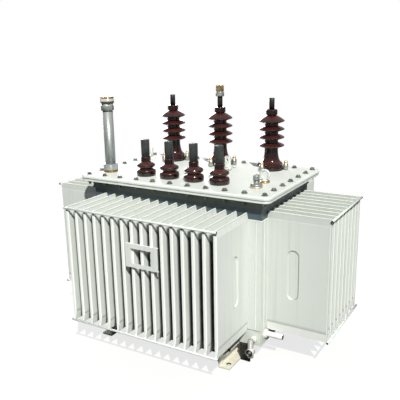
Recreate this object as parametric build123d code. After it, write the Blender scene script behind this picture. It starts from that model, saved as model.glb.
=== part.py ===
from build123d import *
import math
import os

# Distribution power transformer, sealed corrugated tank, millimetres.
# +X runs along the long side, -Y is the front, +Z is up, the origin sits on the floor under the middle.

# Driving dimensions of the tank
TANK_X = 802.0
TANK_Y = 475.0
SHEET = 2.5
RAIL_TOP = 70.0
BASE_TOP = 137.0
BASE_INSET = 3.0
NECK_Z = 591.0
COLLAR_Z = 637.0
COLLAR_OUT = 4.0
FLANGE_Z = 673.0
FLANGE_T = 10.0
GASKET_T = 2.0
COVER_T = 12.0
COVER_OVER_X = 46.0
COVER_OVER_Y = 42.5
COVER_R = 28.0
COVER_EDGE_R = 7.0
POST_LEG = 24.0
POST_MIN = 50.0

# Driving dimensions of the cooling fins
FIN_PITCH = 45.0
FIN_DEPTH = 250.0
FIN_T = 14.0
SEAM_T = 5.0
FIN_LOW = 128.0
FIN_LOW_FULL = 165.0
FIN_TOP = 619.0
FIN_TIP_CUT = 3.0
SLOT_OFF = 108.0
SLOT_W = 48.0
SLOT_H = 204.0
SLOT_Z = 377.0
SLOT_DEEP = 4.5
SLOT_SLOPE = 48.0
ROD_D = 9.0
ROD_END = 4.0

# Driving dimensions of the base
RAIL_GAUGE = 595.0
RAIL_LEN = 692.0
RAIL_W = 48.5
RAIL_TOP_W = 34.5
RAIL_WEB = 5.0
RAIL_FLANGE = 7.0
FOOT_HOLE = 18.0
FOOT_EDGE = 32.0
FOOT_BACK = 29.5
BEAM_HALF = 358.0
BEAM_T = 6.0
BEAM_OUT = 12.0
BEAM_LEG = 45.0

# Driving dimensions of the bushings
HV_PITCH = 253.0
HV_Y = 178.0
HV_SHED_R = 56.0
HV_CORE_R = 29.0
HV_SHED_STEP = 35.5
HV_SHED_FIRST = 108.0
HV_TOP = 263.0
HV_ROD_D = 23.0
HV_ROD_LEN = 48.0
CLAMP_PCD = 128.0
LV_PITCH = 119.0
LV_Y = -158.0
LV_BASE_R = 41.0
LV_TOP = 83.0
LV_ROD_D = 36.0
LV_ROD_LEN = 71.0
ROD_CHAMFER = 1.0

# Driving dimensions of the fittings
GAUGE_AT = (-365.0, -165.0)
GAUGE_TUBE_D = 45.0
GAUGE_TUBE_LEN = 234.0
RELIEF_AT = (336.0, -150.0)
EYE_RIGHT_AT = (330.0, -58.0)
EYE_LEFT_AT = (-372.0, 160.0)
EYE_LEFT_TURN = -60.0
EYE_R = 18.0
EYE_BAR_R = 5.0
TAP_AT = (78.0, 103.0)
PLATE_X = (-46.0, 101.0)
PLATE_Z = (424.0, 518.0)
PLATE_T = 2.0
PLATE_OUT = 9.0
PLATE_BORDER = (25.0, 28.0, 16.5, 18.0)
PIPE_D = 26.0
PIPE_LEN = 74.0
PIPE_AT = (-185.0, 106.0)
VALVE_X = 371.0
VALVE_HIGH = 100.0
VALVE_LOW = 58.0
VALVE_OUT = 34.0

HX = TANK_X / 2
HY = TANK_Y / 2
TOP = FLANGE_Z + FLANGE_T + GASKET_T + COVER_T


def block(x0, x1, y0, y1, z0, z1):
    """Plain box between two corners."""
    return Pos((x0 + x1) / 2, (y0 + y1) / 2, (z0 + z1) / 2) * Box(x1 - x0, y1 - y0, z1 - z0)


def rod(axis, at, d, length):
    """Round bar centred on a point along X, Y or Z."""
    turn = {"x": Rot(0, 90, 0), "y": Rot(90, 0, 0), "z": Rot(0, 0, 0)}[axis]
    return Pos(*at) * turn * Cylinder(d / 2, length)


def hexagon(across, z0, z1, turn=0):
    """Upright hexagonal prism, measured across its corners."""
    return Pos(0, 0, z0) * Rot(0, 0, turn) * extrude(RegularPolygon(across / 2, 6), z1 - z0)


def turned(steps):
    """Solid of revolution about Z. A step is a point (radius, height), or a pair of points for an arc."""
    here = steps[0]
    edges = []
    for step in steps[1:] + [steps[0]]:
        if isinstance(step[0], tuple):
            edges.append(ThreePointArc(here, step[0], step[1]))
            here = step[1]
        else:
            edges.append(Line(here, step))
            here = step
    return revolve(Plane.XZ * make_face(edges), Axis.Z)


def on_cover(shape, x, y):
    """Stands a fitting on the cover."""
    return Pos(x, y, TOP) * shape


def tank():
    body = block(-HX + SHEET, HX - SHEET, -HY + SHEET, HY - SHEET, BASE_TOP, NECK_Z)
    neck = block(-HX + 1, HX - 1, -HY + 1, HY - 1, NECK_Z, COLLAR_Z)
    neck += block(-HX - COLLAR_OUT, HX + COLLAR_OUT, -HY - COLLAR_OUT, HY + COLLAR_OUT, COLLAR_Z, FLANGE_Z)
    bx = HX - BASE_INSET
    by = HY - BASE_INSET
    base = block(-bx, bx, -by, by, RAIL_TOP, BASE_TOP)
    return {"tank_body": body, "tank_neck": neck, "base_box": base}


def cover():
    """Tank flange, gasket and cover plate, one above the other with the same rounded outline."""
    width = TANK_X + 2 * COVER_OVER_X
    depth = TANK_Y + 2 * COVER_OVER_Y
    seat = FLANGE_Z + FLANGE_T
    stack = (("tank_flange", 3, FLANGE_Z, seat), ("cover_gasket", 7, seat, seat + GASKET_T),
             ("cover_plate", 0, seat + GASKET_T, TOP))
    out = {}
    for name, inset, z0, z1 in stack:
        outline = RectangleRounded(width - 2 * inset, depth - 2 * inset, COVER_R - inset)
        out[name] = Pos(0, 0, z0) * extrude(outline, z1 - z0)
    rim = out["cover_plate"].faces().sort_by(Axis.Z)[-1].edges()
    out["cover_plate"] = fillet(rim, COVER_EDGE_R)
    return out


def fin_count(wall):
    """How many fins fit on a wall between its corner posts."""
    return int((wall - 2 * POST_MIN - FIN_T) / FIN_PITCH) + 1


def fin():
    """One fin standing along -Y from y = 0, pinched flat at both ends and folded at the tip."""
    h = FIN_T / 2
    s = SEAM_T / 2
    half = Polyline((0, FIN_LOW), (s, FIN_LOW), (h, FIN_LOW_FULL), (h, NECK_Z), (s, FIN_TOP), (0, FIN_TOP))
    face = make_face(Plane.XZ * half + Line((0, 0, FIN_TOP), (0, 0, FIN_LOW)))
    side = extrude(face, FIN_DEPTH, dir=(0, -1, 0))
    solid = side + mirror(side, Plane.YZ)
    tip = [e for e in solid.edges() if abs(e.center().Y + FIN_DEPTH) < 0.1
           and abs(abs(e.center().X) - h) < 0.1 and e.length > SLOT_H]
    return chamfer(tip, FIN_TIP_CUT)


def slot(side):
    """Pressed stadium recess in the outer face of an end fin, side is +1 or -1 in X."""
    foot = Plane.YZ * Pos(-SLOT_OFF, SLOT_Z) * Rot(0, 0, 90) * SlotOverall(SLOT_H, SLOT_W)
    mouth = extrude(foot, SLOT_DEEP, dir=(-side, 0, 0), taper=SLOT_SLOPE)
    lead = extrude(foot, 1, dir=(side, 0, 0))
    return Pos(side * FIN_T / 2, 0, 0) * (mouth + lead)


def panel(wall):
    """Corrugated wall facing -Y: a row of fins on a back sheet from y = 0 to SHEET."""
    count = fin_count(wall)
    first = -(count - 1) * FIN_PITCH / 2
    one = fin()
    fins = [Pos(first + k * FIN_PITCH, 0, 0) * one for k in range(1, count - 1)]
    fins.append(Pos(first, 0, 0) * (one - slot(-1)))
    fins.append(Pos(-first, 0, 0) * (one - slot(1)))
    half = wall / 2 - POST_LEG
    return block(-half, half, 0, SHEET, BASE_TOP, NECK_Z) + fins


def panels():
    long_panel = panel(TANK_X)
    short_panel = panel(TANK_Y)
    return {"front_panel": Pos(0, -HY, 0) * long_panel,
            "back_panel": Rot(0, 0, 180) * Pos(0, -HY, 0) * long_panel,
            "right_panel": Rot(0, 0, 90) * Pos(0, -HX, 0) * short_panel,
            "left_panel": Rot(0, 0, -90) * Pos(0, -HX, 0) * short_panel}


def corner_posts():
    """Folded angle at each corner, butted against the back sheets of the two panels beside it."""
    outer = block(HX - POST_LEG, HX, HY - POST_LEG, HY, BASE_TOP, NECK_Z)
    inner = block(HX - POST_LEG - 1, HX - SHEET, HY - POST_LEG - 1, HY - SHEET, BASE_TOP - 1, NECK_Z + 1)
    post = outer - inner
    pair = post + mirror(post, Plane.YZ)
    return {"corner_posts": pair + mirror(pair, Plane.XZ)}


def tie_rods():
    """Bars welded across the fin tips, one set high and one set low."""
    out = {}
    long_len = (fin_count(TANK_X) - 1) * FIN_PITCH + FIN_T + 2 * ROD_END
    short_len = (fin_count(TANK_Y) - 1) * FIN_PITCH + FIN_T + 2 * ROD_END
    y = HY + FIN_DEPTH + ROD_D / 2
    x = HX + FIN_DEPTH + ROD_D / 2
    for name, z in (("tie_rods_upper", FIN_TOP - ROD_D / 2), ("tie_rods_lower", FIN_LOW + ROD_D / 4)):
        bars = rod("x", (0, -y, z), ROD_D, long_len) + rod("x", (0, y, z), ROD_D, long_len)
        bars += rod("y", (-x, 0, z), ROD_D, short_len)
        bars += rod("y", (x, 0, z), ROD_D, short_len)
        out[name] = bars
    return out


def rail_left_side():
    """Where the web of the right-hand rail starts in X."""
    return RAIL_GAUGE / 2 - FOOT_BACK


def base():
    """Two channels front to back, open outward, and angles across under the front and back walls."""
    x0 = rail_left_side()
    half = RAIL_LEN / 2
    web = block(x0, x0 + RAIL_WEB, -half, half, 0, RAIL_TOP)
    low = block(x0, x0 + RAIL_W, -half, half, 0, RAIL_FLANGE)
    high = block(x0, x0 + RAIL_TOP_W, -half, half, RAIL_TOP - RAIL_FLANGE, RAIL_TOP)
    rail = web + low + high
    for sy in (-1, 1):
        rail -= Pos(RAIL_GAUGE / 2, sy * (half - FOOT_EDGE), RAIL_FLANGE / 2) * Cylinder(FOOT_HOLE / 2, 4 * RAIL_FLANGE)
    front = HY + BEAM_OUT
    angle = block(0, BEAM_HALF, -front, -front + BEAM_T, 0, RAIL_TOP)
    angle += block(0, BEAM_HALF, -front, -front + BEAM_LEG, RAIL_TOP - BEAM_T, RAIL_TOP)
    angle -= block(x0, x0 + RAIL_W, -front - 1, -front + BEAM_LEG + 1, -1, RAIL_TOP + 1)
    pair = angle + mirror(angle, Plane.YZ)
    return {"base_rail_left": mirror(rail, Plane.YZ), "base_rail_right": rail,
            "base_beams": pair + mirror(pair, Plane.XZ)}


def shed(z, r, core):
    """Arcs of one thin shed from its underside, round its lip and back to the core."""
    return [(core, z - 11), ((core + 7, z - 6), (r - 3, z - 2.5)), ((r, z), (r - 3, z + 2.5)),
            ((core + 8, z + 6), (core, z + 12))]


def hv_bushing():
    """Porcelain on a two-step foot, three thin sheds, a cone-shaped hood and a collar round the stud."""
    core = HV_CORE_R
    hood = HV_SHED_FIRST + 3 * HV_SHED_STEP
    steps = [(0, 0), (49, 0), (49, 3), (52, 4), (52, 16), (47, 18), (47, 20), (50.5, 21), (50.5, 31),
             ((43, 34), (36, 43)), (core, 90)]
    for k in range(3):
        steps += shed(HV_SHED_FIRST + k * HV_SHED_STEP, HV_SHED_R, core)
    steps += [(core, hood - 12), ((core + 7, hood - 7), (HV_SHED_R - 3, hood - 2.5)),
              ((HV_SHED_R, hood), (HV_SHED_R - 3, hood + 2.5)), ((35, hood + 10), (20, HV_TOP - 25)),
              (20, HV_TOP - 23), ((24, HV_TOP - 21.5), (24.5, HV_TOP - 17)), (24.5, HV_TOP - 6),
              ((23, HV_TOP - 1.5), (19, HV_TOP)), (0, HV_TOP)]
    return turned(steps)


def lv_bushing():
    """Short porcelain with a rounded foot, a waist, one thick shed and a plain neck."""
    r = LV_BASE_R
    return turned([(0, 0), (r - 5, 0), ((r - 1, 4), (r, 11)), ((r - 3, 22), (30, 28)), (27.5, 31), (27.5, 35),
                   ((32, 38), (r - 4, 42)), ((r - 2, 45), (r - 4, 48)), ((29, 51), (22, 57)), (20.5, 61),
                   (20.5, LV_TOP - 7), ((19.5, LV_TOP - 2), (16, LV_TOP)), (0, LV_TOP)])


def terminal(d, z0, length):
    """Round stud with a small chamfer at its top."""
    stud = rod("z", (0, 0, z0 + length / 2), d, length)
    return chamfer(stud.faces().sort_by(Axis.Z)[-1].edges(), ROD_CHAMFER)


def bushings():
    out = {}
    for k in range(3):
        x = (k - 1) * HV_PITCH
        out["hv_bushing_%d" % (k + 1)] = on_cover(hv_bushing(), x, HV_Y)
        out["hv_terminal_%d" % (k + 1)] = on_cover(terminal(HV_ROD_D, HV_TOP, HV_ROD_LEN), x, HV_Y)
    for k in range(4):
        x = (k - 1.5) * LV_PITCH
        out["lv_bushing_%d" % (k + 1)] = on_cover(lv_bushing(), x, LV_Y)
        out["lv_terminal_%d" % (k + 1)] = on_cover(terminal(LV_ROD_D, LV_TOP, LV_ROD_LEN), x, LV_Y)
    return out


def hv_connector():
    """Clamp on the middle stud: a round collar, a groove and a hexagon nut on top."""
    z = HV_TOP + HV_ROD_LEN
    body = turned([(0, z), (19, z), (19, z + 17), (16.5, z + 18), (16.5, z + 24), (0, z + 24)])
    return {"hv_connector": on_cover(body + hexagon(41, z + 24, z + 49), 0, HV_Y)}


def hv_clamps():
    """Three studs with domed nuts round the foot of each tall bushing."""
    stud = turned([(0, 0), (11, 0), (11, 25), (8, 27), (8, 43), (0, 43)])
    stud = fillet(stud.faces().sort_by(Axis.Z)[-1].edges(), 6.5)
    studs = None
    for k in range(3):
        for a in (15, 135, 255):
            x = (k - 1) * HV_PITCH + CLAMP_PCD / 2 * math.cos(math.radians(a))
            y = HV_Y + CLAMP_PCD / 2 * math.sin(math.radians(a))
            one = on_cover(stud, x, y)
            studs = one if studs is None else studs + one
    return {"hv_clamps": studs}


def gauge():
    """Oil level gauge: brass ring, hexagon nut, metal tube, collar and hexagon cap."""
    x, y = GAUGE_AT
    r = GAUGE_TUBE_D / 2
    ring = turned([(0, 0), (29.5, 0), (29.5, 11), (0, 11)])
    nut = hexagon(72, 11, 36, 10) & turned([(0, 11), (36, 11), (36, 32), (31, 36), (0, 36)])
    z = 36 + GAUGE_TUBE_LEN
    tube = turned([(0, 36), (r, 36), (r, z), (0, z)])
    collar = turned([(0, z), (27.5, z), (27.5, z + 20), (25, z + 21), (25, z + 30), (0, z + 30)])
    cap = hexagon(62, z + 30, z + 58, 20) & turned([(0, z + 30), (31, z + 30), (31, z + 55), (27, z + 58), (0, z + 58)])
    shapes = {"gauge_ring": ring, "gauge_nut": nut, "gauge_tube": tube, "gauge_collar": collar, "gauge_cap": cap}
    return {name: on_cover(shape, x, y) for name, shape in shapes.items()}


def relief():
    """Pressure relief valve on a brass ring."""
    ring = turned([(0, 0), (25, 0), (25, 7), (0, 7)])
    valve = turned([(0, 7), (23, 7), (23, 13), (21, 15), (8, 15), (8, 29), (13, 29), (13, 48), (11, 50), (0, 50)])
    valve += hexagon(24, 15, 26, 10)
    return {"relief_ring": on_cover(ring, *RELIEF_AT), "relief_valve": on_cover(valve, *RELIEF_AT)}


def lifting_eyes():
    """Ring eye on a short boss, each on a brass collar."""
    eye = Pos(0, 0, 14 + EYE_R) * Rot(90, 0, 0) * Torus(EYE_R, EYE_BAR_R)
    eye += turned([(0, 6), (12, 6), (12, 9), (7, 14), (0, 14)])
    ring = turned([(0, 0), (20, 0), (20, 6), (0, 6)])
    collars = on_cover(ring, *EYE_RIGHT_AT) + on_cover(ring, *EYE_LEFT_AT)
    return {"lifting_eye_right": on_cover(eye, *EYE_RIGHT_AT),
            "lifting_eye_left": on_cover(Rot(0, 0, EYE_LEFT_TURN) * eye, *EYE_LEFT_AT),
            "eye_collars": collars}


def tap_changer():
    """Switch knob: round foot, neck and an upright grip with a locking hole."""
    foot = turned([(0, 0), (23, 0), (23, 5), (21, 6), (14, 7), (14, 26), (0, 26)])
    grip = Pos(0, 0, 41) * Box(26, 15, 32)
    grip = fillet(grip.edges().filter_by(Axis.Z), 3)
    grip -= rod("y", (0, 0, 42), 10, 30)
    return {"tap_changer": on_cover(foot + grip, *TAP_AT)}


def nameplate():
    """Bent sheet holder with an open window, its upper and lower returns on the fin tips."""
    x0, x1 = PLATE_X
    z0, z1 = PLATE_Z
    left, right, low, high = PLATE_BORDER
    back = -HY - FIN_DEPTH
    front = back - PLATE_OUT
    holder = block(x0, x1, front, back, z0, z1)
    holder -= block(x0 - 1, x1 + 1, front + PLATE_T, back + 1, z0 + PLATE_T, z1 - PLATE_T)
    holder -= block(x0 + left, x1 - right, front - 1, front + PLATE_T + 1, z0 + low, z1 - high)
    return {"nameplate_frame": holder}


def drains():
    """Pipe stub on the right wall, and a drain valve that hangs from a boss on the front of the base."""
    wall = HX - BASE_INSET
    y, z = PIPE_AT
    pipe = rod("x", (wall + PIPE_LEN / 2, y, z), PIPE_D, PIPE_LEN)
    pipe += rod("x", (wall + 4, y, z), PIPE_D + 10, 8)
    front = -HY + BASE_INSET
    axis = front - VALVE_OUT
    valve = rod("y", (VALVE_X, front - 7, VALVE_HIGH), 24, 14)
    valve += rod("y", (VALVE_X, (front + axis) / 2, VALVE_HIGH), 18, VALVE_OUT)
    valve += Pos(VALVE_X, axis, 0) * hexagon(24, VALVE_LOW - 24, VALVE_HIGH + 9, 12)
    body = rod("y", (VALVE_X, axis - 2, VALVE_LOW), 31, 24)
    recess = rod("y", (VALVE_X, axis - 14, VALVE_LOW), 25, 16)
    plug = rod("y", (VALVE_X, axis - 9, VALVE_LOW), 12, 6)
    return {"drain_pipe": pipe, "drain_valve": valve + body - recess + plug}


parts = {}
for group in (tank, cover, panels, corner_posts, tie_rods, base, bushings, hv_connector, hv_clamps,
              gauge, relief, lifting_eyes, tap_changer, nameplate, drains):
    parts.update(group())

os.makedirs("parts", exist_ok=True)
for name, shape in parts.items():
    export_step(shape, os.path.join("parts", name + ".step"))
    low = shape.bounding_box().min
    high = shape.bounding_box().max
    print(name, len(shape.solids()), [round(v, 1) for v in (*low, *high)], round(shape.volume / 1000))
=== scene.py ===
import math

import bmesh
import bpy
from mathutils import Matrix, Vector


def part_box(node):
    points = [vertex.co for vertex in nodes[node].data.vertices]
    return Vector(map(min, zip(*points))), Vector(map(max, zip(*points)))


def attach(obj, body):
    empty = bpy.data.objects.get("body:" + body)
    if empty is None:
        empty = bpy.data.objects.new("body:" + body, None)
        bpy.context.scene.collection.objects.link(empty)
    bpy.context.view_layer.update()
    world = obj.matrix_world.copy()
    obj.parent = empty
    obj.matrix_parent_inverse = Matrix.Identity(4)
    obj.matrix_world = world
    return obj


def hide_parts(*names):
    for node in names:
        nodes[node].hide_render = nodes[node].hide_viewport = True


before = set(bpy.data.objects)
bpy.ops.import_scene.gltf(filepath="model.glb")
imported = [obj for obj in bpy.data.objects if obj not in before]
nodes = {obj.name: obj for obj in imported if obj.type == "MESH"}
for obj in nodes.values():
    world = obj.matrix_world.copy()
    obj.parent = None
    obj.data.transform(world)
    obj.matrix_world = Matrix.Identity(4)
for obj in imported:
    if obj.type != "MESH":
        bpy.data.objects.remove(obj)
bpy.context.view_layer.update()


# Tank shell: a box of folded sheet steel with an angle welded on at each corner, standing on a lower box.
# It is all sprayed in one greenish white satin paint, a little dusty and streaked by rain. The angles and
# the lower box are painted a darker white as their shade, and a dark line at the top of the lower box as
# the shade under the wall's bottom edge.
def finish(name):
    """An empty node material: the material, its node tree and its principled shader."""
    mat = bpy.data.materials.new(name)
    mat.use_nodes = True
    tree = mat.node_tree
    return mat, tree, tree.nodes["Principled BSDF"]


def link(tree, source, target):
    """Joins an output to an input."""
    tree.links.new(source, target)


def noise(tree, scale, detail, stretch=(1, 1, 1)):
    """Noise on Object coordinates, with one scale for each direction."""
    place = tree.nodes.new("ShaderNodeTexCoord")
    turn = tree.nodes.new("ShaderNodeMapping")
    turn.inputs["Scale"].default_value = stretch
    grain = tree.nodes.new("ShaderNodeTexNoise")
    grain.inputs["Scale"].default_value = scale
    grain.inputs["Detail"].default_value = detail
    link(tree, place.outputs["Object"], turn.inputs["Vector"])
    link(tree, turn.outputs["Vector"], grain.inputs["Vector"])
    return grain.outputs["Fac"]


def span(tree, value, low, high, out_low=0.0, out_high=1.0):
    """Stretches a value from one range to another, and clamps it."""
    node = tree.nodes.new("ShaderNodeMapRange")
    node.inputs["From Min"].default_value = low
    node.inputs["From Max"].default_value = high
    node.inputs["To Min"].default_value = out_low
    node.inputs["To Max"].default_value = out_high
    link(tree, value, node.inputs["Value"])
    return node.outputs["Result"]


def sums(tree, kind, a, b=0.0):
    """One sum on one or two values, each a socket or a number."""
    node = tree.nodes.new("ShaderNodeMath")
    node.operation = kind
    for socket, value in zip(node.inputs, (a, b)):
        if isinstance(value, (int, float)):
            socket.default_value = value
        else:
            link(tree, value, socket)
    return node.outputs["Value"]


def all_of(tree, *masks):
    """The product of some masks, each a socket or a number."""
    product = masks[0]
    for mask in masks[1:]:
        product = sums(tree, "MULTIPLY", product, mask)
    return product


def axis_value(tree, axis):
    """One Object coordinate, X, Y or Z."""
    place = tree.nodes.new("ShaderNodeTexCoord")
    split = tree.nodes.new("ShaderNodeSeparateXYZ")
    link(tree, place.outputs["Object"], split.inputs["Vector"])
    return split.outputs[axis]


def unsigned(tree, axis):
    """One Object coordinate without its sign, which paints both sides of the object alike."""
    return sums(tree, "ABSOLUTE", axis_value(tree, axis))


def blend(tree, fac, a, b):
    """Mixes two colours, each a socket or three numbers."""
    node = tree.nodes.new("ShaderNodeMix")
    node.data_type = "RGBA"
    link(tree, fac, node.inputs["Factor"])
    for socket, value in zip((node.inputs[6], node.inputs[7]), (a, b)):
        if isinstance(value, tuple):
            socket.default_value = (*value, 1)
        else:
            link(tree, value, socket)
    return node.outputs[2]


def band(tree, value, low, high, soft=0.0003):
    """One between two limits of a value and nothing outside them."""
    return all_of(tree, span(tree, value, low - soft, low), span(tree, value, high + soft, high))


def patch(material, region, colour):
    """Blends another colour over a finished material, where the region is 1."""
    tree = material.node_tree
    base = tree.nodes["Principled BSDF"].inputs["Base Color"]
    link(tree, blend(tree, region, base.links[0].from_socket, colour), base)


def bump(tree, shader, height, strength, distance):
    """Fine relief from a height."""
    node = tree.nodes.new("ShaderNodeBump")
    node.inputs["Strength"].default_value = strength
    node.inputs["Distance"].default_value = distance
    link(tree, height, node.inputs["Height"])
    link(tree, node.outputs["Normal"], shader.inputs["Normal"])


def sprayed(name, colour, dust, rough=0.38, dirty_to=0.16, streaks=1.0):
    """Satin spray paint: cloudy tone, streaks down the walls, dust low down and a faint orange peel."""
    mat, tree, shader = finish(name)
    cloud = span(tree, noise(tree, 2.6, 4), 0.35, 0.7, 0.0, 0.30)
    streak = span(tree, noise(tree, 1.0, 5, (55, 55, 1.6)), 0.52, 0.80, 0.0, 0.35 * streaks)
    speck = span(tree, noise(tree, 260, 3), 0.66, 0.80, 0.0, 0.30)
    low = span(tree, axis_value(tree, "Z"), dirty_to, 0.0, 0.0, 0.75)
    low = all_of(tree, low, span(tree, noise(tree, 9, 6), 0.35, 0.65, 0.2, 1.0))
    tone = blend(tree, cloud, colour, tuple(0.9 * c for c in colour))
    tone = blend(tree, sums(tree, "MAXIMUM", streak, speck), tone, dust)
    tone = blend(tree, low, tone, dust)
    polish = span(tree, noise(tree, 14, 4), 0.3, 0.7, rough - 0.07, rough + 0.12)
    link(tree, tone, shader.inputs["Base Color"])
    link(tree, polish, shader.inputs["Roughness"])
    bump(tree, shader, noise(tree, 420, 2), 0.10, 0.0004)
    return mat


WHITE = (0.800, 0.840, 0.795)
# A darker white, painted on the corner angles and the lower box as their shade.
SHADED_WHITE = (0.665, 0.700, 0.655)
DUST_AND_SHADE = (0.50, 0.50, 0.42)
POST_SEAM = (0.3762, 0.3782)
BASE_JOINT_SHADE = (0.1325, 0.1338)
white_paint = sprayed("white_paint", WHITE, DUST_AND_SHADE)


def dress(names, material):
    """Gives CAD nodes their finish."""
    for name in names:
        mesh = nodes[name].data
        mesh.materials.clear()
        mesh.materials.append(material)


dress(["tank_body", "tank_flange"], white_paint)

post_paint = sprayed("post_paint", SHADED_WHITE, DUST_AND_SHADE)
tree = post_paint.node_tree
broken = span(tree, noise(tree, 60, 3), 0.3, 0.6, 0.35, 0.8)
seam_line = all_of(tree, band(tree, unsigned(tree, "X"), *POST_SEAM), broken)
patch(post_paint, seam_line, (0.20, 0.21, 0.19))
dress(["corner_posts"], post_paint)
base_paint = sprayed("base_paint", SHADED_WHITE, DUST_AND_SHADE, dirty_to=0.10)
tree = base_paint.node_tree
# A dark line painted along the joint at the top of the lower box, as the shade under the wall's bottom
# edge.
joint_shade_line = span(tree, axis_value(tree, "Z"), *BASE_JOINT_SHADE, 0.0, 0.85)
patch(base_paint, joint_shade_line, (0.07, 0.07, 0.065))
dress(["base_box"], base_paint)


# Corrugated cooling fins: sheet folded into deep hollow ribs, pinched and welded shut at top and bottom.
# Shade is painted between them, darker towards the wall, and a highlight on the tips of the long sides.
# Painted shade darkens the tops and end fins of the short sides and runs in lines round the slots, along
# the creases and folds and under the bars, and the low facets get a painted highlight.
TANK_HALF = (0.401, 0.2375)
FIN_DEPTH = 0.250
FIN_TOP_SLOPE = 0.591
FIN_TOP_CREASE = (0.6152, 0.6182)
FIN_LOW_FACET = 0.1625
FIN_LOW_FOLD = 0.1638
BAR_SHADE = (0.6030, 0.6095)
TIP_HIGHLIGHT = (0.2425, 0.2465)
GAP_SHADE = (0.2235, 0.2165)
FIN_SIDES = (("front_panel", "back_panel"), ("right_panel", "left_panel"))
END_FIN = (0.3385, 0.1735)
SLOT_MIDDLE = (0.108, 0.377)
SLOT_HALF_STRAIGHT = 0.078
SLOT_EDGE = 0.0215


def distance(tree, a, b):
    """Length of two offsets at right angles to each other."""
    return sums(tree, "SQRT", sums(tree, "ADD", all_of(tree, a, a), all_of(tree, b, b)))


def fin_paint(name, across, along, wall, end_fin, shade_face, shade_top, tip_highlight):
    """Fin paint with painted shade between the fins, round the slots, under the bars and along the folds,
    and painted highlights.
    """
    mat = sprayed(name, WHITE, DUST_AND_SHADE, dirty_to=0.0)
    tree = mat.node_tree
    height = axis_value(tree, "Z")
    depth = sums(tree, "SUBTRACT", unsigned(tree, across), wall)
    face = span(tree, unsigned(tree, along), end_fin, end_fin + 0.0005)
    top = span(tree, height, FIN_TOP_SLOPE - 0.001, FIN_TOP_SLOPE + 0.004)
    # Painted shade on the end fins' outer faces, the tops of the short sides and the wall strip between the
    # fins.
    painted_shade = sums(tree, "MAXIMUM", all_of(tree, face, shade_face), all_of(tree, top, shade_top))
    painted_shade = sums(tree, "MAXIMUM", painted_shade, span(tree, depth, 0.0040, 0.0030, 0.0, 0.28))
    patch(mat, painted_shade, (0.30, 0.32, 0.30))
    # A painted highlight on the fin tips.
    patch(mat, span(tree, depth, *TIP_HIGHLIGHT, 0.0, tip_highlight), (0.95, 0.97, 0.94))

    slot_out = sums(tree, "SUBTRACT", depth, SLOT_MIDDLE[0])
    slot_up = sums(tree, "ABSOLUTE", sums(tree, "SUBTRACT", height, SLOT_MIDDLE[1]))
    slot_up = sums(tree, "MAXIMUM", sums(tree, "SUBTRACT", slot_up, SLOT_HALF_STRAIGHT), 0.0)
    from_edge = sums(tree, "SUBTRACT", distance(tree, slot_up, slot_out), SLOT_EDGE)
    # A dark line painted round each pressed slot, heavier on the tip side, as the shade of its sunken edge.
    slot_rim_shade = span(tree, sums(tree, "ABSOLUTE", from_edge), 0.0038, 0.0012, 0.0, 0.60)
    patch(mat, all_of(tree, slot_rim_shade, span(tree, slot_out, -0.012, 0.004, 0.15, 1.0), face), (0.22, 0.23, 0.20))

    # A grey line painted along each top seam's creases as shade.
    low, high = FIN_TOP_CREASE
    crease_shade = all_of(tree, span(tree, height, low - 0.0012, low), span(tree, height, high + 0.0006, high))
    patch(mat, all_of(tree, crease_shade, 0.45), DUST_AND_SHADE)
    # A painted highlight on the low pinched facet, and painted shade along the fold above it.
    rib = all_of(tree, span(tree, depth, 0.0030, 0.0045), span(tree, depth, 0.2475, 0.2455))
    facet_highlight = span(tree, height, FIN_LOW_FACET + 0.0015, FIN_LOW_FACET)
    patch(mat, all_of(tree, rib, facet_highlight), (0.88, 0.91, 0.87))
    above = span(tree, height, 0.1780, FIN_LOW_FOLD + 0.0007)
    fold_shade = all_of(tree, rib, span(tree, height, FIN_LOW_FOLD - 0.0010, FIN_LOW_FOLD), above, 0.50)
    patch(mat, fold_shade, (0.22, 0.23, 0.21))
    # The bars' shadow, painted across the fin tips below them.
    tip = span(tree, depth, FIN_DEPTH - 0.0020, FIN_DEPTH - 0.0015)
    patch(mat, all_of(tree, tip, band(tree, height, *BAR_SHADE, 0.0010), 0.85), (0.05, 0.055, 0.05))

    # Painted shade between the fins, from a little behind the tips to the wall, below the top slope.
    deep_shade = span(tree, depth, *GAP_SHADE)
    under = span(tree, height, FIN_TOP_SLOPE + 0.002, FIN_TOP_SLOPE - 0.008)
    between = span(tree, unsigned(tree, along), end_fin + 0.001, end_fin)
    patch(mat, all_of(tree, deep_shade, under, between, 0.90), (0.028, 0.031, 0.029))
    return mat


long_fins = fin_paint("fin_paint_long_sides", "Y", "X", TANK_HALF[1], END_FIN[0],
                      shade_face=0.0, shade_top=0.0, tip_highlight=0.9)
short_fins = fin_paint("fin_paint_short_sides", "X", "Y", TANK_HALF[0], END_FIN[1],
                       shade_face=0.22, shade_top=0.48, tip_highlight=0.0)
dress(FIN_SIDES[0], long_fins)
dress(FIN_SIDES[1], short_fins)


# Bars across the fin tips: round steel, one set high and one low, tacked to every fin to hold them apart.
# They are sprayed with the tank, and their cut ends are bare and dark. Each tack is a small blob of weld
# above and below the bar.
FIN_PITCH = 0.045
FIN_COUNTS = (16, 9)
ROD_HEIGHTS = (0.6145, 0.13025)
ROD_ENDS = (("X", 0.3485), ("Y", 0.1910))


def put(name, data):
    """A new object in the scene."""
    thing = bpy.data.objects.new(name, data)
    bpy.context.scene.collection.objects.link(thing)
    return thing


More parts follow.
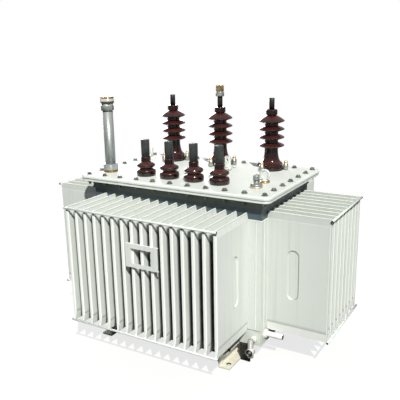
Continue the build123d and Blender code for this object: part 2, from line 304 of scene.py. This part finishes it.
def smooth_copy(name, node, material):
    """A merged copy of a CAD node with smooth faces, which stands for it."""
    mesh = nodes[node].data.copy()
    shape = bmesh.new()
    shape.from_mesh(mesh)
    bmesh.ops.remove_doubles(shape, verts=shape.verts, dist=2e-6)
    bmesh.ops.dissolve_degenerate(shape, edges=shape.edges, dist=1e-7)
    shape.to_mesh(mesh)
    shape.free()
    mesh.shade_smooth()
    mesh.set_sharp_from_angle(angle=math.radians(32))
    mesh.materials.clear()
    mesh.materials.append(material)
    piece = put(name, mesh)
    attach(piece, "root")
    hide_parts(node)
    return piece


def tree_of(name, sizes):
    """A new geometry tree with named inputs, and its input and output nodes."""
    tree = bpy.data.node_groups.new(name, "GeometryNodeTree")
    tree.interface.new_socket("Points", in_out="INPUT", socket_type="NodeSocketGeometry")
    tree.interface.new_socket("Piece", in_out="OUTPUT", socket_type="NodeSocketGeometry")
    for label, kind in sizes:
        tree.interface.new_socket(label, in_out="INPUT", socket_type="NodeSocket" + kind)
    return tree, tree.nodes.new("NodeGroupInput").outputs, tree.nodes.new("NodeGroupOutput").inputs


def add(tree, kind, **values):
    """Adds a node. A value is a setting, a number or a socket, by the input's name."""
    node = tree.nodes.new(kind)
    for key, value in values.items():
        label = key.replace("_", " ")
        if label not in node.inputs:
            setattr(node, key, value)
        elif isinstance(value, bpy.types.NodeSocket):
            link(tree, value, node.inputs[label])
        else:
            node.inputs[label].default_value = value
    return node


def finish_tree(tree, given, out, points, instance, spin, scale=(1, 1, 1)):
    """Puts the instance on the points with a random turn about its axis, and makes it real."""
    chance = add(tree, "FunctionNodeRandomValue", data_type="FLOAT")
    for socket in chance.inputs:
        if socket.name == "Max" and socket.type == "VALUE":
            socket.default_value = spin
        elif socket.name == "Seed":
            link(tree, given["Seed"], socket)
    drawn = [socket for socket in chance.outputs if socket.type == "VALUE"][0]
    turn = add(tree, "ShaderNodeCombineXYZ", X=given["Lean"], Z=drawn)
    placed = add(tree, "GeometryNodeInstanceOnPoints", Points=points, Instance=instance,
                 Rotation=turn.outputs[0], Scale=scale)
    real = add(tree, "GeometryNodeRealizeInstances", Geometry=placed.outputs[0])
    done = add(tree, "GeometryNodeSetMaterial", Geometry=real.outputs[0], Material=given["Material"])
    link(tree, done.outputs[0], out[0])


def grow(name, tree, points, edges, sizes):
    """Runs a geometry tree on some points and keeps the result as a plain mesh."""
    mesh = bpy.data.meshes.new(name)
    mesh.from_pydata(points, edges, [])
    piece = put(name, mesh)
    work = piece.modifiers.new("grow", "NODES")
    work.node_group = tree
    for item in tree.interface.items_tree:
        if item.in_out == "INPUT" and item.name in sizes:
            work[item.identifier] = sizes[item.name]
    bpy.context.view_layer.update()
    made = piece.evaluated_get(bpy.context.evaluated_depsgraph_get())
    result = bpy.data.meshes.new_from_object(made)
    piece.modifiers.clear()
    piece.data = result
    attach(piece, "root")
    return piece


tack_sizes = (("Radius", "Float"), ("Lean", "Float"), ("Seed", "Int"), ("Material", "Material"))
tack, given, out = tree_of("weld_tack", tack_sizes)
ball = add(tack, "GeometryNodeMeshIcoSphere", Radius=given["Radius"], Subdivisions=2)
finish_tree(tack, given, out, given["Points"], ball.outputs[0], 6.2, (1, 0.8, 0.8))
spots = []
for side in range(2):
    for k in range(FIN_COUNTS[side]):
        along = (k - (FIN_COUNTS[side] - 1) / 2) * FIN_PITCH
        out_at = TANK_HALF[1 - side] + FIN_DEPTH + 0.0006
        for height in ROD_HEIGHTS:
            for sign in (-1, 1):
                for lift in (-0.0035, 0.0035):
                    spot = (along, sign * out_at, height + lift)
                    spots.append(spot if side == 0 else (spot[1], spot[0], spot[2]))
tack_set = {"Radius": 0.0024, "Lean": 0.0, "Seed": 3, "Material": white_paint}
grow("bar_tacks", tack, spots, [], tack_set)

bar_paint = sprayed("bar_paint", WHITE, DUST_AND_SHADE, dirty_to=0.0)
tree = bar_paint.node_tree
cuts = []
for axis, end in ROD_ENDS:
    reach = unsigned(tree, axis)
    before = span(tree, reach, end - 0.0005, end - 0.0003)
    cuts.append(all_of(tree, before, span(tree, reach, end + 0.002, end + 0.0015)))
patch(bar_paint, sums(tree, "MAXIMUM", *cuts), (0.06, 0.055, 0.05))
for level in ("upper", "lower"):
    smooth_copy("fin_bars_" + level, "tie_rods_" + level, bar_paint)


# Neck of the tank and the collar under the flange: the cover's shadow painted on them in two tones of dark
# slate, the collar the greener one.
# The rubber gasket lies between the flange and the cover, set back a little from their edges.
COLLAR_FROM = 0.637
# The band under the cover is painted dark slate as the cover's shadow on the white wall.
neck_shadow = sprayed("neck_shadow_paint", (0.066, 0.098, 0.118), (0.16, 0.17, 0.16),
                rough=0.42, dirty_to=0.0, streaks=0.8)
tree = neck_shadow.node_tree
# The collar's greener tone is painted shadow as well.
collar = span(tree, axis_value(tree, "Z"), COLLAR_FROM - 0.0005, COLLAR_FROM + 0.0005)
patch(neck_shadow, collar, (0.105, 0.122, 0.108))
dress(["tank_neck"], neck_shadow)

rubber, tree, shader = finish("gasket_rubber")
tone = blend(tree, noise(tree, 60, 4), (0.010, 0.010, 0.010), (0.030, 0.030, 0.028))
link(tree, tone, shader.inputs["Base Color"])
shader.inputs["Roughness"].default_value = 0.8
bump(tree, shader, noise(tree, 300, 3), 0.2, 0.0005)
dress(["cover_gasket"], rubber)


# Weld beads: the corner angles, the foot of the neck, the pipe socket and the fins' top seams are run in by
# hand and painted over. Each bead is a run of ripples a few millimetres across.
bead, given, out = tree_of("weld_bead", (("Radius", "Float"), ("Step", "Float"), ("Material", "Material")))
path = add(bead, "GeometryNodeMeshToCurve", Mesh=given["Points"])
fine = add(bead, "GeometryNodeResampleCurve", mode="LENGTH", Curve=path.outputs[0], Length=given["Step"])
ripple = add(bead, "ShaderNodeTexNoise", Scale=160.0, Detail=1.0)
swell = span(bead, ripple.outputs[0], 0.3, 0.7, 0.72, 1.15)
ring = add(bead, "GeometryNodeCurvePrimitiveCircle", Resolution=7, Radius=given["Radius"])
tube = add(bead, "GeometryNodeCurveToMesh", Curve=fine.outputs[0], Profile_Curve=ring.outputs[0],
           Scale=swell, Fill_Caps=True)
solid = add(bead, "GeometryNodeRealizeInstances", Geometry=tube.outputs[0])
painted = add(bead, "GeometryNodeSetMaterial", Geometry=solid.outputs[0], Material=given["Material"])
link(bead, painted.outputs[0], out[0])


def runs(lines):
    """Points and edges of several open or closed lines."""
    points = []
    edges = []
    for line in lines:
        start = len(points)
        points += line
        edges += [(start + k, start + k + 1) for k in range(len(line) - 1)]
    return points, edges


POST_WELDS = ((0.377, 0.2380), (0.4015, 0.2135))
POST_ENDS = (0.140, 0.589)
NECK_FOOT = (0.4005, 0.237, 0.5915)
NECK_TURNS = ((-1, -1), (1, -1), (1, 1), (-1, 1), (-1, -1))
SOCKET_FOOT = (0.3985, -0.185, 0.106)
SOCKET_RADIUS = 0.0185
FIN_SEAM_Z = 0.6192
lines = []
for sx in (-1, 1):
    for sy in (-1, 1):
        for x, y in POST_WELDS:
            lines.append([(sx * x, sy * y, z) for z in POST_ENDS])
lines.append([(sx * NECK_FOOT[0], sy * NECK_FOOT[1], NECK_FOOT[2]) for sx, sy in NECK_TURNS])
socket_ring = []
for k in range(25):
    across = SOCKET_RADIUS * math.cos(k * math.tau / 24)
    upwards = SOCKET_RADIUS * math.sin(k * math.tau / 24)
    socket_ring.append((SOCKET_FOOT[0], SOCKET_FOOT[1] + across, SOCKET_FOOT[2] + upwards))
lines.append(socket_ring)
points, edges = runs(lines)
seams = []
for side in range(2):
    wall = TANK_HALF[1 - side]
    for k in range(FIN_COUNTS[side]):
        along = (k - (FIN_COUNTS[side] - 1) / 2) * FIN_PITCH
        for sign in (-1, 1):
            ends = [(along, sign * y, FIN_SEAM_Z) for y in (wall + 0.001, wall + FIN_DEPTH - 0.002)]
            seams.append(ends if side == 0 else [(y, x, z) for x, y, z in ends])
seam_points, seam_edges = runs(seams)
seam_set = {"Radius": 0.0017, "Step": 0.007, "Material": white_paint}
grow("fin_seams", bead, seam_points, seam_edges, seam_set)
weld_set = {"Radius": 0.0022, "Step": 0.005, "Material": white_paint}
grow("tank_welds", bead, points, edges, weld_set)


# Base: two channels of rolled steel under the tank in a creamier, chalky white, with a hole in each foot
# whose wall and rim are painted rust brown and dark as the shade inside it. The cross angles between them
# are painted black as the shade under the box.
FOOT_HOLE = (("X", 0.2975), ("Y", 0.314))
cream = sprayed("cream_paint", (0.84, 0.83, 0.73), (0.46, 0.42, 0.30), rough=0.55, dirty_to=0.02)
tree = cream.node_tree
offsets = [sums(tree, "SUBTRACT", unsigned(tree, axis), centre) for axis, centre in FOOT_HOLE]
# Rust brown, darkened as the shade inside the hole, painted on its wall and rim.
hole_rust_and_shade = span(tree, distance(tree, *offsets), 0.0115, 0.0092, 0.0, 0.95)
patch(cream, hole_rust_and_shade, (0.085, 0.060, 0.025))
dress(["base_rail_left", "base_rail_right"], cream)
# The cross angles are painted black as the shade they stand in under the box.
beam_shade = sprayed("beam_shade_black", (0.012, 0.013, 0.012), (0.045, 0.043, 0.038), rough=0.6, dirty_to=0.0)
dress(["base_beams"], beam_shade)


# Cover and its fasteners: a thick plate in a coat a little duller than the tank's, held by a hexagon bolt
# and washer every 83 mm round it, with a nut and the bolt's end under the flange. The fasteners are steel
# with a weathered olive plating.
SIZES = ("Head Radius", "Head Height", "Washer Radius", "Washer Height", "Stub Radius", "Stub Height")
bolt_sizes = tuple((size, "Float") for size in SIZES + ("Lean",))
bolt, given, out = tree_of("fastener", bolt_sizes + (("Seed", "Int"), ("Material", "Material")))


def upright(tree, sides, radius, height, lift, cut, narrow):
    """Prism standing on a height, with a chamfered top."""
    prism = add(tree, "GeometryNodeMeshCylinder", Vertices=sides, Radius=radius, Depth=height)
    raised = add(tree, "GeometryNodeExtrudeMesh", Mesh=prism.outputs["Mesh"],
                 Selection=prism.outputs["Top"], Offset_Scale=cut, Individual=False)
    shrunk = add(tree, "GeometryNodeScaleElements", Geometry=raised.outputs["Mesh"],
                 Selection=raised.outputs["Top"], Scale=narrow)
    up = add(tree, "ShaderNodeCombineXYZ", Z=lift)
    moved = add(tree, "GeometryNodeTransform", Geometry=shrunk.outputs[0])
    link(tree, up.outputs[0], moved.inputs["Translation"])
    return moved.outputs[0]


washer_mid = sums(bolt, "MULTIPLY", given["Washer Height"], 0.5)
head_mid = sums(bolt, "ADD", given["Washer Height"], sums(bolt, "MULTIPLY", given["Head Height"], 0.5))
stub_mid = sums(bolt, "ADD", sums(bolt, "ADD", given["Washer Height"], given["Head Height"]),
                sums(bolt, "MULTIPLY", given["Stub Height"], 0.5))
whole = add(bolt, "GeometryNodeJoinGeometry")
for shape in (upright(bolt, 28, given["Washer Radius"], given["Washer Height"], washer_mid, 0.0004, 0.96),
              upright(bolt, 6, given["Head Radius"], given["Head Height"], head_mid, 0.0012, 0.86),
              upright(bolt, 16, given["Stub Radius"], given["Stub Height"], stub_mid, 0.0008, 0.84)):
    link(bolt, shape, whole.inputs[0])
finish_tree(bolt, given, out, given["Points"], whole.outputs[0], 1.05)


def metal(name, colour, stain, rough, metallic=0.9, scale=40.0, stretch=(1, 1, 1)):
    """Bare or plated metal with a blotchy film, uneven polish and fine handling marks."""
    mat, tree, shader = finish(name)
    film = span(tree, noise(tree, scale, 5, stretch), 0.3, 0.7)
    link(tree, blend(tree, film, colour, stain), shader.inputs["Base Color"])
    shader.inputs["Metallic"].default_value = metallic
    polish = span(tree, noise(tree, 90, 4, stretch), 0.3, 0.7, rough - 0.1, rough + 0.14)
    link(tree, polish, shader.inputs["Roughness"])
    bump(tree, shader, noise(tree, 500, 2, stretch), 0.12, 0.0003)
    return mat


COVER_TOP = 0.697
BOLT_STEP = (0.0834, 0.083)
FLANGE_LOW = 0.6730
cover_paint = sprayed("cover_paint", (0.775, 0.805, 0.765), DUST_AND_SHADE, rough=0.46, dirty_to=0.0, streaks=0.5)
dress(["cover_plate"], cover_paint)
olive = metal("olive_plating", (0.270, 0.270, 0.225), (0.100, 0.103, 0.092), 0.40, 0.55)
cover_points = []
for i in range(11):
    for j in range(7):
        if i in (0, 10) or j in (0, 6):
            cover_points.append(((i - 5) * BOLT_STEP[0], (j - 3) * BOLT_STEP[1], COVER_TOP))
cover_bolt = {"Head Radius": 0.0086, "Head Height": 0.0064, "Washer Radius": 0.0122,
              "Washer Height": 0.0022, "Stub Radius": 0.0045, "Stub Height": 0.0006,
              "Lean": 0.0, "Seed": 11, "Material": olive}
grow("cover_bolts", bolt, cover_points, [], cover_bolt)
under = [(x, y, FLANGE_LOW) for x, y, z in cover_points]
cover_nut = {"Head Radius": 0.0086, "Head Height": 0.0090, "Washer Radius": 0.0122,
             "Washer Height": 0.0022, "Stub Radius": 0.0060, "Stub Height": 0.0070,
             "Lean": math.pi, "Seed": 5, "Material": olive}
grow("cover_nuts", bolt, under, [], cover_nut)


# High-voltage bushings: one-piece porcelain with three thin sheds under a hood, turned, dipped in brown
# glaze and fired. Faces that look up are painted lighter and redder as lit, and the sides darker as shaded.
# Three studs with domed nuts hold each foot down on a rubber ring, a dark stud comes out of the top, and
# the middle one carries a clamp.
glaze, tree, shader = finish("brown_glaze")
pool = span(tree, noise(tree, 14, 2, (1, 1, 2.5)), 0.35, 0.70)
# Dark sides as painted shade, and lighter, redder tops as painted light, blended by where each face looks.
side_shade = blend(tree, pool, (0.006, 0.0016, 0.0013), (0.017, 0.0038, 0.0030))
top_light = blend(tree, pool, (0.042, 0.0100, 0.0080), (0.072, 0.0175, 0.0140))
facing = tree.nodes.new("ShaderNodeNewGeometry")
upward = tree.nodes.new("ShaderNodeSeparateXYZ")
link(tree, facing.outputs["Normal"], upward.inputs["Vector"])
tone = blend(tree, span(tree, upward.outputs["Z"], 0.15, 0.75), side_shade, top_light)
link(tree, tone, shader.inputs["Base Color"])
link(tree, span(tree, noise(tree, 120, 3), 0.35, 0.7, 0.10, 0.20), shader.inputs["Roughness"])
shader.inputs["Coat Weight"].default_value = 0.60
shader.inputs["Specular IOR Level"].default_value = 0.40
shader.inputs["Coat Roughness"].default_value = 0.06
bump(tree, shader, noise(tree, 30, 1), 0.06, 0.0008)
stud_black = metal("stud_black", (0.020, 0.020, 0.021), (0.050, 0.046, 0.040), 0.45, 0.6)


def bow(start, middle, end, count=7):
    """Points of a curve from start to end that passes through the middle point, without its start."""
    curve = []
    for k in range(1, count + 1):
        u = k / count
        curve.append(tuple((1 - u) * (1 - 2 * u) * a + 4 * u * (1 - u) * m + u * (2 * u - 1) * b
                           for a, m, b in zip(start, middle, end)))
    return curve


def lathe(name, profile, centres, material, sides=72):
    """Closed solids of revolution from (radius, height) points, one for each centre, with smooth sides."""
    shape = bmesh.new()
    for cx, cy, cz in centres:
        rings = []
        for r, z in profile:
            if r == 0:
                rings.append([shape.verts.new((cx, cy, cz + z))])
                continue
            ring = []
            for k in range(sides):
                a = k * math.tau / sides
                ring.append(shape.verts.new((cx + r * math.cos(a), cy + r * math.sin(a), cz + z)))
            rings.append(ring)
        pairs = list(zip(rings, rings[1:]))
        if len(rings[0]) > 1:
            pairs.append((rings[-1], rings[0]))
        for a, b in pairs:
            for k in range(sides):
                m = (k + 1) % sides
                corners = [a[k % len(a)], a[m % len(a)], b[m % len(b)], b[k % len(b)]]
                shape.faces.new(list(dict.fromkeys(corners)))
    bmesh.ops.recalc_face_normals(shape, faces=shape.faces)
    mesh = bpy.data.meshes.new(name)
    shape.to_mesh(mesh)
    shape.free()
    mesh.shade_smooth()
    mesh.set_sharp_from_angle(angle=math.radians(35))
    mesh.materials.append(material)
    piece = put(name, mesh)
    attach(piece, "root")
    return piece


HV_PITCH = 0.253
HV_Y = 0.178
SHED_FIRST = 108
SHED_STEP = 35.5
HV_AT = [((k - 1) * HV_PITCH, HV_Y, COVER_TOP) for k in range(3)]
tall = [(0, 0), (49, 0), (49, 3)] + bow((49, 3), (51.3, 3.6), (52, 6))
tall += bow((52, 15), (51, 17), (48, 18)) + [(47, 19), (48, 20.5)]
tall += bow((48, 20.5), (50.2, 22), (50.5, 25)) + bow((50.5, 30), (43, 34.5), (36, 44))
tall += bow((36, 44), (30.5, 66), (29, 92))
for k in range(4):
    z = SHED_FIRST + SHED_STEP * k
    tall += [(29, z - 12)] + bow((29, z - 12), (41, z - 7.5), (53.2, z - 3.2))
    tall += bow((53.2, z - 3.2), (56, z), (53.4, z + 2.8), 5)
    if k < 3:
        tall += bow((53.4, z + 2.8), (43, z + 8.2), (31, z + 12.5)) + [(29, z + 14)]
tall += bow((53.4, 217.3), (38, 228.5), (21, 237.5), 9) + [(20, 239)]
tall += bow((20, 239), (24, 241), (24.5, 246)) + [(24.5, 256)]
tall += bow((24.5, 256), (23.2, 261.3), (19, 263)) + [(0, 263)]
tall = [(r / 1000, z / 1000) for r, z in tall]
for k in (1, 2, 3):
    porcelain = lathe("hv_porcelain_%d" % k, tall, HV_AT[k - 1:k], glaze)
    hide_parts("hv_bushing_%d" % k)
    smooth_copy("hv_stud_%d" % k, "hv_terminal_%d" % k, stud_black)

DOME_FROM = 0.7250
domed = metal("domed_nuts", (0.52, 0.52, 0.48), (0.34, 0.33, 0.28), 0.34, 0.85)
tree = domed.node_tree
patch(domed, span(tree, axis_value(tree, "Z"), DOME_FROM, DOME_FROM + 0.0005), (0.86, 0.68, 0.40))
smooth_copy("hv_foot_studs", "hv_clamps", domed)
CLAMP_NUT_FROM = 1.0320
clamp_silver, tree, shader = finish("clamp_silver_and_brass")
top_part = span(tree, axis_value(tree, "Z"), CLAMP_NUT_FROM, CLAMP_NUT_FROM + 0.0005)
link(tree, blend(tree, top_part, (0.62, 0.62, 0.60), (0.62, 0.46, 0.22)), shader.inputs["Base Color"])
shader.inputs["Metallic"].default_value = 0.9
link(tree, span(tree, noise(tree, 90, 4), 0.3, 0.7, 0.25, 0.48), shader.inputs["Roughness"])
bump(tree, shader, noise(tree, 300, 2), 0.15, 0.0004)
smooth_copy("hv_stud_clamp", "hv_connector", clamp_silver)
foot_ring = ((0.0485, 0.0), (0.0515, 0.0), (0.0525, 0.0012), (0.0515, 0.0026), (0.0485, 0.0026))
lathe("hv_foot_rings", foot_ring, HV_AT, rubber)


# Low-voltage bushings: short squat porcelain in the same glaze, each with a thick grey stud for cable lugs.
# Their feet stand on rubber rings too.
LV_PITCH = 0.119
LV_Y = -0.158
LV_AT = [((k - 1.5) * LV_PITCH, LV_Y, COVER_TOP) for k in range(4)]
squat = [(0, 0), (36, 0)] + bow((36, 0), (40, 3), (41, 10)) + bow((41, 10), (39.6, 22.5), (32, 28))
squat += [(27.5, 30.5), (27, 33)] + bow((27, 33), (33.5, 35.5), (37.5, 39))
squat += bow((37.5, 39), (39.6, 44), (37.5, 49)) + bow((37.5, 49), (31, 54), (23, 57.5))
squat += [(20.5, 60.5), (20.5, 76)] + bow((20.5, 76), (19.5, 81), (16, 83)) + [(0, 83)]
squat = [(r / 1000, z / 1000) for r, z in squat]
lead_grey = metal("lead_grey", (0.082, 0.092, 0.092), (0.050, 0.056, 0.056), 0.48, 0.35)
for k in (1, 2, 3, 4):
    porcelain = lathe("lv_porcelain_%d" % k, squat, LV_AT[k - 1:k], glaze)
    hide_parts("lv_bushing_%d" % k)
    smooth_copy("lv_stud_%d" % k, "lv_terminal_%d" % k, lead_grey)
foot_ring = ((0.0350, 0.0), (0.0385, 0.0), (0.0395, 0.0010), (0.0385, 0.0022), (0.0350, 0.0022))
lathe("lv_foot_rings", foot_ring, LV_AT, rubber)


# Oil gauge: an aluminium tube screwed into a hexagon nut on a brass ring, with a collar and a hexagon cap.
# The tube is drawn and dull, with long faint marks. The cap's flats are painted pale as their bright
# reflection, its top edge is worn to brass, and its foot is painted dark as shade where it meets the
# collar.
silver = metal("gauge_silver", (0.46, 0.49, 0.48), (0.35, 0.375, 0.37), 0.36, 0.45,
               scale=30.0, stretch=(3, 3, 0.25))
brass = metal("gauge_brass", (0.50, 0.30, 0.09), (0.26, 0.14, 0.045), 0.32, 0.9)
cap_metal, tree, shader = finish("cap_metal")
cap_low, cap_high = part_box("gauge_cap")
cap_tall = cap_high[2] - cap_low[2]
cap_z = axis_value(tree, "Z")
edge = blend(tree, noise(tree, 70, 3), (0.30, 0.19, 0.06), (0.60, 0.42, 0.17))
# Pale flats as painted reflection, and a dark foot as painted shade.
flats = span(tree, cap_z, cap_high[2] - 0.24 * cap_tall, cap_high[2] - 0.30 * cap_tall)
foot = span(tree, cap_z, cap_low[2] + 0.34 * cap_tall, cap_low[2] + 0.28 * cap_tall)
tone = blend(tree, flats, edge, (0.86, 0.84, 0.76))
link(tree, blend(tree, foot, tone, (0.10, 0.085, 0.055)), shader.inputs["Base Color"])
link(tree, span(tree, flats, 0, 1, 0.9, 0.35), shader.inputs["Metallic"])
link(tree, span(tree, noise(tree, 90, 4), 0.3, 0.7, 0.26, 0.46), shader.inputs["Roughness"])
bump(tree, shader, noise(tree, 500, 2), 0.12, 0.0003)
for part in ("nut", "tube", "collar"):
    smooth_copy("gauge_%s_turned" % part, "gauge_" + part, silver)
smooth_copy("gauge_ring_turned", "gauge_ring", brass)
smooth_copy("gauge_cap_turned", "gauge_cap", cap_metal)


# Relief valve and lifting eyes: a grey plated valve on a worn brass ring, and two forged rings sprayed
# white. The right eye's brass collar is bare, and the left one's is painted over.
valve_grey = metal("valve_grey", (0.42, 0.45, 0.44), (0.26, 0.28, 0.27), 0.38, 0.7)
smooth_copy("relief_valve_turned", "relief_valve", valve_grey)
worn_brass = metal("worn_brass", (0.66, 0.60, 0.46), (0.48, 0.33, 0.16), 0.40, 0.6)
smooth_copy("relief_ring_turned", "relief_ring", worn_brass)
eye_brass = metal("eye_brass", (0.52, 0.32, 0.11), (0.36, 0.20, 0.07), 0.35, 0.9)
tree = eye_brass.node_tree
painted_over = span(tree, axis_value(tree, "X"), 0.0, -0.001)
patch(eye_brass, painted_over, WHITE)
link(tree, span(tree, painted_over, 0, 1, 0.9, 0.0), tree.nodes["Principled BSDF"].inputs["Metallic"])
smooth_copy("eye_rings", "eye_collars", eye_brass)
eye_paint = sprayed("eye_paint", (0.66, 0.70, 0.66), DUST_AND_SHADE, rough=0.34, dirty_to=0.0)
for side in ("right", "left"):
    smooth_copy("eye_%s_forged" % side, "lifting_eye_" + side, eye_paint)


# Tap switch: a cast knob with a flat grip and a hole for a padlock, in chipped white paint.
# Three small plated bolts stand round its foot.
TAP_AT = (0.078, 0.103)
TAP_BOLT_RING = 0.034
knob_paint = sprayed("knob_paint", (0.62, 0.65, 0.61), DUST_AND_SHADE, rough=0.34, dirty_to=0.0)
tree = knob_paint.node_tree
chips = span(tree, noise(tree, 110, 4), 0.60, 0.66, 0.0, 0.75)
patch(knob_paint, chips, (0.16, 0.17, 0.16))
smooth_copy("tap_knob", "tap_changer", knob_paint)
plated = metal("plated_steel", (0.62, 0.62, 0.58), (0.40, 0.38, 0.32), 0.32, 0.85)
tap_bolt = {"Head Radius": 0.0058, "Head Height": 0.0050, "Washer Radius": 0.0075,
            "Washer Height": 0.0012, "Stub Radius": 0.0030, "Stub Height": 0.0025,
            "Lean": 0.0, "Seed": 21, "Material": plated}
tap_points = []
for a in (-0.9, 1.2, 3.3):
    x = TAP_AT[0] + TAP_BOLT_RING * math.cos(a)
    y = TAP_AT[1] + TAP_BOLT_RING * math.sin(a)
    tap_points.append((x, y, COVER_TOP))
grow("tap_bolts", bolt, tap_points, [], tap_bolt)


# Plate holder: thin sheet with an open window, bent back along its top and bottom edges onto the fin tips
# and sprayed with the tank.
dress(["nameplate_frame"], white_paint)


# Drains: a short pipe socket on the right wall and a small valve below the front wall, both sprayed over.
# The valve hangs from a threaded boss and ends in a ring with a hexagon plug, and both mouths are painted
# black as the shade inside them.
VALVE_AXIS = (("X", 0.371), ("Z", 0.058))
VALVE_MOUTH = (-0.2640, -0.2645)
VALVE_FLATS = (0.0745, 0.115)
PIPE_FOOT = (0.398, -0.185, 0.107)
PIPE_AXIS = (("Y", PIPE_FOOT[1]), ("Z", PIPE_FOOT[2]))
SHADE_BLACK = (0.012, 0.012, 0.012)
valve_paint = sprayed("valve_paint", (0.84, 0.84, 0.76), (0.45, 0.43, 0.34), rough=0.4, dirty_to=0.03)
tree = valve_paint.node_tree
offsets = [sums(tree, "SUBTRACT", axis_value(tree, axis), centre) for axis, centre in VALVE_AXIS]
reach = distance(tree, *offsets)
ahead = span(tree, axis_value(tree, "Y"), *VALVE_MOUTH)
clear_of_wall = span(tree, axis_value(tree, "Y"), -0.2510, -0.2530)
flats = all_of(tree, band(tree, axis_value(tree, "Z"), *VALVE_FLATS), clear_of_wall)
patch(valve_paint, flats, (0.34, 0.35, 0.32))
# The mouth ring is painted black as the shade inside it.
patch(valve_paint, all_of(tree, ahead, span(tree, reach, 0.0158, 0.0140)), SHADE_BLACK)
patch(valve_paint, all_of(tree, ahead, span(tree, reach, 0.0064, 0.0060)), (0.20, 0.21, 0.20))
smooth_copy("drain_valve_turned", "drain_valve", valve_paint)
pipe_paint = sprayed("pipe_paint", (0.86, 0.87, 0.82), (0.50, 0.48, 0.40), rough=0.4, dirty_to=0.0)
tree = pipe_paint.node_tree
offsets = [sums(tree, "SUBTRACT", axis_value(tree, axis), centre) for axis, centre in PIPE_AXIS]
# The pipe's bore is painted black as the shade inside it.
bore = span(tree, distance(tree, *offsets), 0.0099, 0.0094)
patch(pipe_paint, all_of(tree, bore, span(tree, axis_value(tree, "X"), 0.455, 0.456)), SHADE_BLACK)
pipe = [(0, 0), (0.0170, 0), (0.0180, 0.0010), (0.0180, 0.0065), (0.0165, 0.0080), (0.0110, 0.0085),
        (0.0110, 0.0730), (0.0105, 0.0740), (0.0085, 0.0740), (0.0082, 0.0730), (0.0082, 0.0560),
        (0, 0.0560)]
stub = lathe("drain_pipe_turned", pipe, [(0, 0, 0)], pipe_paint, 48)
stub.data.transform(Matrix.Translation(PIPE_FOOT) @ Matrix.Rotation(math.pi / 2, 4, "Y"))
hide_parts("drain_pipe")


# Studio: a plain pale floor that fades to white, a sunny key from the front right, a soft fill from behind
# on the left and an even pale sky.
bpy.ops.mesh.primitive_plane_add(size=60)
floor = bpy.context.object
floor.name = "studio_floor"
ground, tree, shader = finish("pale_floor")
shader.inputs["Roughness"].default_value = 0.9
glow = tree.nodes.new("ShaderNodeEmission")
mixed = tree.nodes.new("ShaderNodeMixShader")
rays = tree.nodes.new("ShaderNodeLightPath")
place = tree.nodes.new("ShaderNodeTexCoord")
length = tree.nodes.new("ShaderNodeVectorMath")
length.operation = "LENGTH"
link(tree, place.outputs["Object"], length.inputs[0])
far = span(tree, length.outputs["Value"], 0.9, 2.6, 0.78, 1.0)
tone = blend(tree, rays.outputs["Is Camera Ray"], (0.16, 0.16, 0.16), (0.86, 0.86, 0.855))
link(tree, tone, shader.inputs["Base Color"])
link(tree, all_of(tree, far, rays.outputs["Is Camera Ray"]), mixed.inputs["Fac"])
link(tree, shader.outputs["BSDF"], mixed.inputs[1])
link(tree, glow.outputs[0], mixed.inputs[2])
link(tree, mixed.outputs[0], tree.nodes["Material Output"].inputs["Surface"])
floor.data.materials.append(ground)

world = bpy.data.worlds.new("pale_sky")
bpy.context.scene.world = world
world.use_nodes = True
tree = world.node_tree
sky = tree.nodes["Background"]
sky.inputs["Color"].default_value = (0.58, 0.80, 1.0, 1)
sky.inputs["Strength"].default_value = 0.12
white_sky = tree.nodes.new("ShaderNodeBackground")
white_sky.inputs["Color"].default_value = (1, 1, 1, 1)
mixed = tree.nodes.new("ShaderNodeMixShader")
rays = tree.nodes.new("ShaderNodeLightPath")
glossy = all_of(tree, rays.outputs["Is Glossy Ray"], 0.28)
pale = sums(tree, "MAXIMUM", rays.outputs["Is Camera Ray"], glossy)
link(tree, pale, mixed.inputs["Fac"])
link(tree, sky.outputs[0], mixed.inputs[1])
link(tree, white_sky.outputs[0], mixed.inputs[2])
link(tree, mixed.outputs[0], tree.nodes["World Output"].inputs["Surface"])


def sun(name, energy, spread, towards, colour=(1, 1, 1)):
    """A lamp far away in one direction, with its spread in degrees."""
    lamp = bpy.data.lights.new(name, "SUN")
    lamp.energy = energy
    lamp.angle = math.radians(spread)
    lamp.color = colour
    put(name, lamp).rotation_euler = Vector(towards).to_track_quat("Z", "Y").to_euler()


sun("key", 4.6, 0.8, (0.452, -0.520, 0.725), (1.0, 0.985, 0.94))
sun("fill", 3.0, 40, (-0.72, 0.66, 0.04))


# Camera: a normal lens a little above the tops of the bushings. It looks down at the near right corner,
# and a small roll and shift bring the picture to the photograph's frame.
CAMERA_AT = (1.2700, -2.1380, 1.2449)
azimuth = math.radians(30.3)
lift = math.radians(15.05)
roll = math.radians(-0.99)
back = Vector((math.sin(azimuth) * math.cos(lift), -math.cos(azimuth) * math.cos(lift), math.sin(lift)))
right = Vector((math.cos(azimuth), math.sin(azimuth), 0))
up = back.cross(right)
right_rolled = right * math.cos(roll) + up * math.sin(roll)
up_rolled = up * math.cos(roll) - right * math.sin(roll)
lens = bpy.data.cameras.new("camera")
lens.lens = 52.48
lens.sensor_width = 36
lens.shift_x = -0.0141
lens.shift_y = -0.0040
camera = put("camera", lens)
turned = Matrix((right_rolled, up_rolled, back)).transposed().to_4x4()
camera.matrix_world = Matrix.Translation(CAMERA_AT) @ turned
bpy.context.scene.camera = camera
bpy.context.scene.view_settings.view_transform = "Standard"
